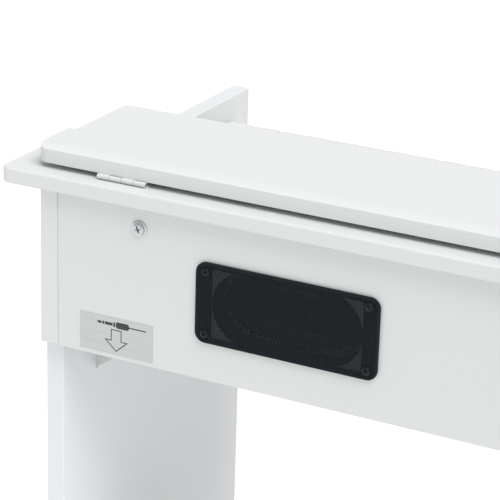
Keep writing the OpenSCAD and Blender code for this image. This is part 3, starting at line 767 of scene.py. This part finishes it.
def make_grilles(shape):
    """Two perforated grilles in their black frames, each over an oval gasket and a near-black liner that paints
    the shade inside the speaker opening.
    """
    low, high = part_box("speaker_grilles")
    depth = high.y - low.y
    outer = (GRILLE_WIDTH, high.z - low.z, GRILLE_CORNER)
    centres = [Vector((x, low.y, (low.z + high.z) / 2)) for x in grille_middles()]

    def twice(bm, forward=0.0):
        return copies(bm, [to_rear(centre + Vector((0, forward, 0))) for centre in centres])

    sheet = perforated_sheet(shrunk(outer, SHEET_INSET), shape.hole_pitch, shape.hole_width, SHEET_DEPTH)
    bass = copies(sheet, [to_rear(centres[0] + Vector((0, depth - SHEET_DEPTH - SHEET_SINK, 0)))])
    treble = bass.copy()
    place(treble, Matrix.Translation(centres[1] - centres[0]))
    piece("grille_sheet_bass", bass, "powder", CASE, even=False)
    piece("grille_sheet_treble", treble, "powder", CASE, even=False)
    rim = frame_ring(outer, shrunk(outer, shape.rim_width), depth)
    round_edges(rim, RIM_ARRIS, steps=2)
    piece("grille_rims", twice(rim), "rim", CASE, ("speaker_grilles",))
    frame_part = frame_ring(shrunk(outer, FRAME_SLACK), FRAME_WINDOW, depth - SHEET_DEPTH - FRAME_SLACK)
    piece("grille_frames", twice(frame_part, FRAME_LIFT), "basket", CASE)
    piece("speaker_gaskets", twice(frame_ring(*GASKET), GASKET_LIFT), "gasket", CASE)
    # The liners paint the shade on the walls of the speaker openings
    piece("speaker_opening_painted_shade", twice(frame_ring(*SHADE_LINER), -SHADE_LINER[-1]), "basket", CASE)


def make_cones():
    """Oval speaker cones: a rolled surround, a steep cone and a dust cap."""
    low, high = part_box("speaker_cones")
    bm = bmesh.new()
    rim = bmesh.ops.create_circle(bm, cap_ends=False, segments=64, radius=1.0)
    bmesh.ops.scale(bm, vec=CONE_HALF, verts=rim["verts"])
    edges = bm.edges[:]
    before = 1.0
    for share, behind in CONE_RINGS:
        made = bmesh.ops.extrude_edge_only(bm, edges=edges)
        verts = new_verts(made)
        edges = [g for g in made["geom"] if isinstance(g, bmesh.types.BMEdge)]
        bmesh.ops.scale(bm, vec=(share / before, share / before, 1.0), verts=verts)
        bmesh.ops.translate(bm, vec=(0, 0, -behind * MM - verts[0].co.z), verts=verts)
        before = share
    bmesh.ops.holes_fill(bm, edges=edges)
    bmesh.ops.solidify(bm, geom=bm.faces[:], thickness=CONE_PAPER)
    places = [to_rear(Vector((x, high.y - CONE_PAPER, (low.z + high.z) / 2))) for x in grille_middles()]
    piece("speaker_cone_paper", copies(bm, places), "pulp", CASE, ("speaker_cones",))


# ---- Screws ----

def screw_head(profile, recess, arm, depth, steps=32):
    """A turned head with a cross recess; its top is the profile's first height."""
    top = profile[0][1]
    proud = 0.02 * MM  # the cutter stands this far out of the head
    return cut(turned(profile, steps), cross_cutter(recess, arm, top + proud, depth))


def make_screws():
    """Bright rear screws and black grille screws."""
    def sized(profile, radius, rise):
        return [(radius * across, rise * up) for across, up in profile]

    low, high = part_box("rear_screws")
    radius, rise = (high.z - low.z) / 2, high.y - low.y
    flanged = ((0, 1), (0.44, 1), (0.57, 0.95), (0.68, 0.80), (0.73, 0.55), (0.75, 0.36), (0.92, 0.30),
               (0.98, 0.20), (1, 0.08), (1, 0), (0, 0))
    head = screw_head(sized(flanged, radius, rise), recess=5.6 * MM, arm=1.5 * MM, depth=2.2 * MM)
    turns = {low.x + radius: 12.0, 0.0: 42.0, high.x - radius: 68.0}
    places = [to_rear(Vector((x, low.y, (low.z + high.z) / 2))) @ Matrix.Rotation(math.radians(turn), 4, "Z")
              for x, turn in turns.items()]
    piece("rear_screw_heads", copies(head, places), "zinc", CASE, ("rear_screws",), even=False)

    low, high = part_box("grille_screws")
    radius, rise, depth, inset, turn = 3.2 * MM, 1.4 * MM, 0.6 * MM, 8 * MM, 25.0
    sunk = -depth / rise
    pan = ((0, 1), (0.55, 0.97), (0.85, 0.72), (1, 0.3), (1, sunk), (0, sunk))
    head = screw_head(sized(pan, radius, rise), recess=3.4 * MM, arm=0.8 * MM, depth=1.1 * MM, steps=24)
    spread = GRILLE_WIDTH / 2 - inset
    spots = [Vector((x + sx * spread, high.y - rise, z)) for x in grille_middles() for sx in (-1, 1)
             for z in (low.z + radius, high.z - radius)]
    places = [to_rear(spot) @ Matrix.Rotation(math.radians(turn * count), 4, "Z")
              for count, spot in enumerate(spots)]
    piece("grille_screw_heads", copies(head, places), "black_screw", CASE, ("grille_screws",),
          even=False)


# ---- Label ----

INK_DEPTH = 0.04 * MM
# Bars of the plug mark from the cord to the tip: length, height, corner radius and middle, in millimetres
PLUG_BARS = ((15, 0.9, 0.4, -17.5), (11, 5.0, 1.6, -5.2), (1.6, 3.6, 0.3, 1.7), (6.5, 2.3, 0.2, 6.4),
             (1.6, 2.3, 0.2, 11.0), (3.4, 2.0, 0.95, 14.1))


def ink_strip(width, height, radius, at, steps=4):
    """A printed patch with round corners."""
    bm = bmesh.new()
    round_plate(bm, width, height, radius, steps)
    thicken(bm, INK_DEPTH)
    bmesh.ops.translate(bm, vec=(*at, 0), verts=bm.verts)
    return bm


def arrow_outline(shaft, head, shoulder, tip, stroke):
    """Outline of an arrow that points along -Y from the origin."""
    bm = bmesh.new()
    corners = [(-shaft / 2, 0), (shaft / 2, 0), (shaft / 2, -shoulder), (head / 2, -shoulder), (0, -tip),
               (-head / 2, -shoulder), (-shaft / 2, -shoulder)]
    core = bm.faces.new([bm.verts.new((x, y, 0)) for x, y in corners])
    bm.normal_update()
    bmesh.ops.inset_region(bm, faces=[core], thickness=stroke, use_boundary=True, use_even_offset=True)
    bmesh.ops.delete(bm, geom=[core], context="FACES")
    thicken(bm, INK_DEPTH)
    return bm


def make_label(shape):
    """Silver label with a plug mark and an arrow that points down to the pedal socket."""
    low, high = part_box("label_plate")
    width, height, thick, corner = high.x - low.x, high.z - low.z, 0.3 * MM, 0.8 * MM
    plug_drop, arrow_drop = 5.6 * MM, 9.4 * MM
    centre = Vector(((low.x + high.x) / 2, low.y, (low.z + high.z) / 2))
    plate = bmesh.new()
    round_plate(plate, width, height, corner, steps=4)
    thicken(plate, thick)
    place(plate, to_rear(centre))
    piece("label_sheet", plate, "label", CASE, ("label_plate",))
    arrow = arrow_outline(shaft=9 * MM, head=20 * MM, shoulder=8.6 * MM, tip=17.5 * MM, stroke=shape.stroke)
    bmesh.ops.translate(arrow, vec=(0, height / 2 - arrow_drop, 0), verts=arrow.verts)
    plug = [ink_strip(long * MM, tall * MM, radius * MM, (x * MM, height / 2 - plug_drop))
            for long, tall, radius, x in PLUG_BARS]
    marks = merged(arrow, *plug)
    place(marks, to_rear(centre + Vector((0, thick, 0))))
    piece("label_marks", marks, "ink", CASE)


# ---- Controls under the lid ----

CAP_ARRIS = {"power_button": 0.8 * MM, "voice_button": 0.7 * MM, "function_button": 0.7 * MM,
             "volume_slider": 0.6 * MM}
# Ticks beside the slider: their number each side of its middle, spacing, widths and distance from it
TICKS, TICK_STEP, TICK_WIDTH, TICK_TALL, TICK_SHORT, TICK_AWAY = 4, 6 * MM, 0.5 * MM, 3.2 * MM, 2 * MM, 9 * MM


def make_controls():
    """Softened buttons and slider, and the marks printed on the control plate."""
    for node, radius in CAP_ARRIS.items():
        softened(node, radius, 3, "white_plastic", "cap")
    softened("control_plate", 0.3 * MM, 2, "black_plastic", "panel")
    slider = middle("volume_slider")
    marks = []
    for step in range(-TICKS, TICKS + 1):
        tall = TICK_SHORT if step % TICKS else TICK_TALL
        marks.append(ink_strip(TICK_WIDTH, tall, TICK_WIDTH / 5,
                               (slider.x + step * TICK_STEP, slider.y + TICK_AWAY)))
    dash_away, ring_away, stem_away = 8.5 * MM, 11.5 * MM, 13.0 * MM
    for node in ("voice_button", "function_button"):
        spot = middle(node)
        marks.append(ink_strip(9 * MM, 0.6 * MM, 0.25 * MM, (spot.x, spot.y + dash_away)))
    spot = middle("power_button")
    ring = frame_ring((5 * MM, 5 * MM, 2.49 * MM), (3.8 * MM, 3.8 * MM, 1.89 * MM), INK_DEPTH)
    bmesh.ops.translate(ring, vec=(spot.x, spot.y + ring_away, 0), verts=ring.verts)
    stem = ink_strip(0.6 * MM, 2.6 * MM, 0.2 * MM, (spot.x, spot.y + stem_away))
    printed = merged(*marks, ring, stem)
    place(printed, Matrix.Translation((0, 0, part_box("control_plate")[1].z)))
    piece("control_marks", printed, "white_ink", CASE, even=False)


# ---- Stand and hinges ----

# Node, rounding, its steps, finish, and what the piece is called after the node
HARDWARE = (
    ("hinge_leaves_fixed", 0.16 * MM, 2, "painted", "leaf"),
    ("hinge_leaves_moving", 0.16 * MM, 2, "painted", "leaf"),
    ("corner_brackets", 0.3 * MM, 2, "plated", "pressing"),
    ("foot_glides", 0.8 * MM, 3, "rubber", "pad"),
    ("lid_bumpers", 0.6 * MM, 3, "rubber", "pad"),
    ("adjuster_foot", 0.9 * MM, 3, "rubber", "pad"),
    ("stand_screws", 0.5 * MM, 3, "blackened", "head"),
)


def make_pedals(shape):
    """Brass pedals with well-rounded edges, in a softened housing."""
    clear = in_front_of(middle("pedal_axle").y - PIVOT_CLEARANCE)
    for side in ("left", "middle", "right"):
        softened(f"pedal_{side}", shape.pedal_arris, 4, "brass", "lever", clear)
    softened("pedal_housing", 0.8 * MM, 3, "white_plastic", "cover")


def make_hardware():
    """Hinges, brackets, glides, bumpers and the centre foot, with their edges broken."""
    for row in HARDWARE:
        softened(*row)


def make_finishes():
    """Gives every CAD node that still shows the finish of its material slot."""
    for node, obj in frame["nodes"].items():
        obj.data.materials.clear()
        obj.data.materials.append(finish_named(SLOT_FINISH[NODE_SLOT[node]]))


# ---- Stage ----

FLOOR_REACH = 30.0
SENSOR_WIDTH = 36.0
NEAR_CLIP, FAR_CLIP = 0.05, 100.0
SKY_TINT = (0.985, 0.99, 1.0, 1.0)
KEY_FROM, FILL_FROM = (-0.43, 0.20, 0.88), (-0.25, 0.88, 0.40)


def add_light(name, source, strength, width):
    """A distant light whose angle makes it soft; the source is the direction that it comes from."""
    data = bpy.data.lights.new(name, "SUN")
    data.energy = strength
    data.angle = width
    light = bpy.data.objects.new(name, data)
    light.rotation_mode = "QUATERNION"
    light.rotation_quaternion = (-Vector(source)).to_track_quat("-Z", "Y")
    bpy.context.scene.collection.objects.link(light)


def make_floor(stage):
    """Pale floor."""
    bm = bmesh.new()
    bmesh.ops.create_grid(bm, x_segments=1, y_segments=1, size=FLOOR_REACH)
    mesh = bpy.data.meshes.new("floor")
    bm.to_mesh(mesh)
    bm.free()
    ground = bpy.data.objects.new("floor", mesh)
    bpy.context.scene.collection.objects.link(ground)
    paint = Finish("pale_floor", stage.floor, roughness=0.9)
    paint.shine(paint.noise(2.0, detail=2.0), low=0.85, high=0.95)
    mesh.materials.append(paint.material)


def make_light(stage):
    """Even sky and two soft lights."""
    world = bpy.data.worlds.new("studio")
    world.use_nodes = True
    sky = world.node_tree.nodes["Background"]
    sky.inputs["Color"].default_value = SKY_TINT
    sky.inputs["Strength"].default_value = stage.sky
    bpy.context.scene.world = world
    add_light("key", KEY_FROM, stage.key, stage.light_width)
    add_light("fill", FILL_FROM, stage.fill, stage.light_width)


def make_camera(stage):
    """Camera behind the treble end, looking down at the speaker."""
    lens = bpy.data.cameras.new("camera")
    lens.lens = stage.focal
    lens.sensor_width = SENSOR_WIDTH
    lens.clip_start, lens.clip_end = NEAR_CLIP, FAR_CLIP
    camera = bpy.data.objects.new("camera", lens)
    level = math.cos(stage.tilt)
    sight = Vector((math.sin(stage.heading) * level, math.cos(stage.heading) * level, -math.sin(stage.tilt)))
    camera.rotation_mode = "QUATERNION"
    camera.rotation_quaternion = sight.to_track_quat("-Z", "Y") @ Quaternion((0, 0, 1), stage.roll)
    camera.location = stage.place
    bpy.context.scene.collection.objects.link(camera)
    bpy.context.scene.camera = camera


# ---- Operators ----

class PIANO_OT_finishes(Operator):
    """Give every CAD node the finish of its material slot"""
    bl_idname = "piano.finishes"
    bl_label = "Finishes"

    def execute(self, context):
        make_finishes()
        return {"FINISHED"}


class PIANO_OT_boards(Operator):
    """Build the foil-faced boards of the case, the lid and the stand"""
    bl_idname = "piano.boards"
    bl_label = "Boards"

    def execute(self, context):
        make_boards(context.scene.piano_shape)
        return {"FINISHED"}


class PIANO_OT_keys(Operator):
    """Build the white and black keys and the felt behind them"""
    bl_idname = "piano.keys"
    bl_label = "Keys and Felt"

    def execute(self, context):
        make_keys(context.scene.piano_shape)
        make_felt()
        return {"FINISHED"}


class PIANO_OT_speakers(Operator):
    """Build the perforated grilles and the speaker cones"""
    bl_idname = "piano.speakers"
    bl_label = "Speakers"

    def execute(self, context):
        make_grilles(context.scene.piano_shape)
        make_cones()
        return {"FINISHED"}


class PIANO_OT_screws(Operator):
    """Build the screws' heads"""
    bl_idname = "piano.screws"
    bl_label = "Screws"

    def execute(self, context):
        make_screws()
        return {"FINISHED"}


class PIANO_OT_label(Operator):
    """Build the label and its printed marks"""
    bl_idname = "piano.label"
    bl_label = "Label"

    def execute(self, context):
        make_label(context.scene.piano_shape)
        return {"FINISHED"}


class PIANO_OT_controls(Operator):
    """Build the controls under the lid"""
    bl_idname = "piano.controls"
    bl_label = "Controls"

    def execute(self, context):
        make_controls()
        return {"FINISHED"}


class PIANO_OT_stand_parts(Operator):
    """Build the pedals, their housing, the hinges, the brackets and the feet"""
    bl_idname = "piano.stand_parts"
    bl_label = "Pedals and Hardware"

    def execute(self, context):
        make_pedals(context.scene.piano_shape)
        make_hardware()
        return {"FINISHED"}


class PIANO_OT_stage(Operator):
    """Build the floor, the lights and the camera"""
    bl_idname = "piano.stage"
    bl_label = "Studio"

    def execute(self, context):
        context.scene.view_settings.view_transform = "Standard"
        for make in (make_floor, make_light, make_camera):
            make(context.scene.piano_stage)
        return {"FINISHED"}


class PIANO_PT_build(Panel):
    """Lists the piano's settings and the steps that build it"""
    bl_idname = "PIANO_PT_build"
    bl_label = "Digital Piano"
    bl_space_type = "VIEW_3D"
    bl_region_type = "UI"
    bl_category = "Piano"

    def draw(self, context):
        layout = self.layout
        for settings in (context.scene.piano_shape, context.scene.piano_colours, context.scene.piano_stage):
            box = layout.box()
            for name in settings.__annotations__:
                box.prop(settings, name)
        for operator in OPERATORS:
            layout.operator(operator.bl_idname)


SETTINGS = (PianoShape, PianoColours, PianoStage)
OPERATORS = (PIANO_OT_stage, PIANO_OT_finishes, PIANO_OT_boards, PIANO_OT_keys, PIANO_OT_speakers,
             PIANO_OT_screws, PIANO_OT_label, PIANO_OT_controls, PIANO_OT_stand_parts)


def register():
    for cls in (*SETTINGS, *OPERATORS, PIANO_PT_build):
        bpy.utils.register_class(cls)
    bpy.types.Scene.piano_shape = PointerProperty(type=PianoShape)
    bpy.types.Scene.piano_colours = PointerProperty(type=PianoColours)
    bpy.types.Scene.piano_stage = PointerProperty(type=PianoStage)


def unregister():
    for name in ("piano_shape", "piano_colours", "piano_stage"):
        delattr(bpy.types.Scene, name)
    for cls in reversed((*SETTINGS, *OPERATORS, PIANO_PT_build)):
        bpy.utils.unregister_class(cls)


def main():
    """Builds everything in order."""
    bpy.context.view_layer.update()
    register()
    for operator in OPERATORS:
        group, name = operator.bl_idname.split(".")
        getattr(getattr(bpy.ops, group), name)()


if __name__ == "__main__":
    main()
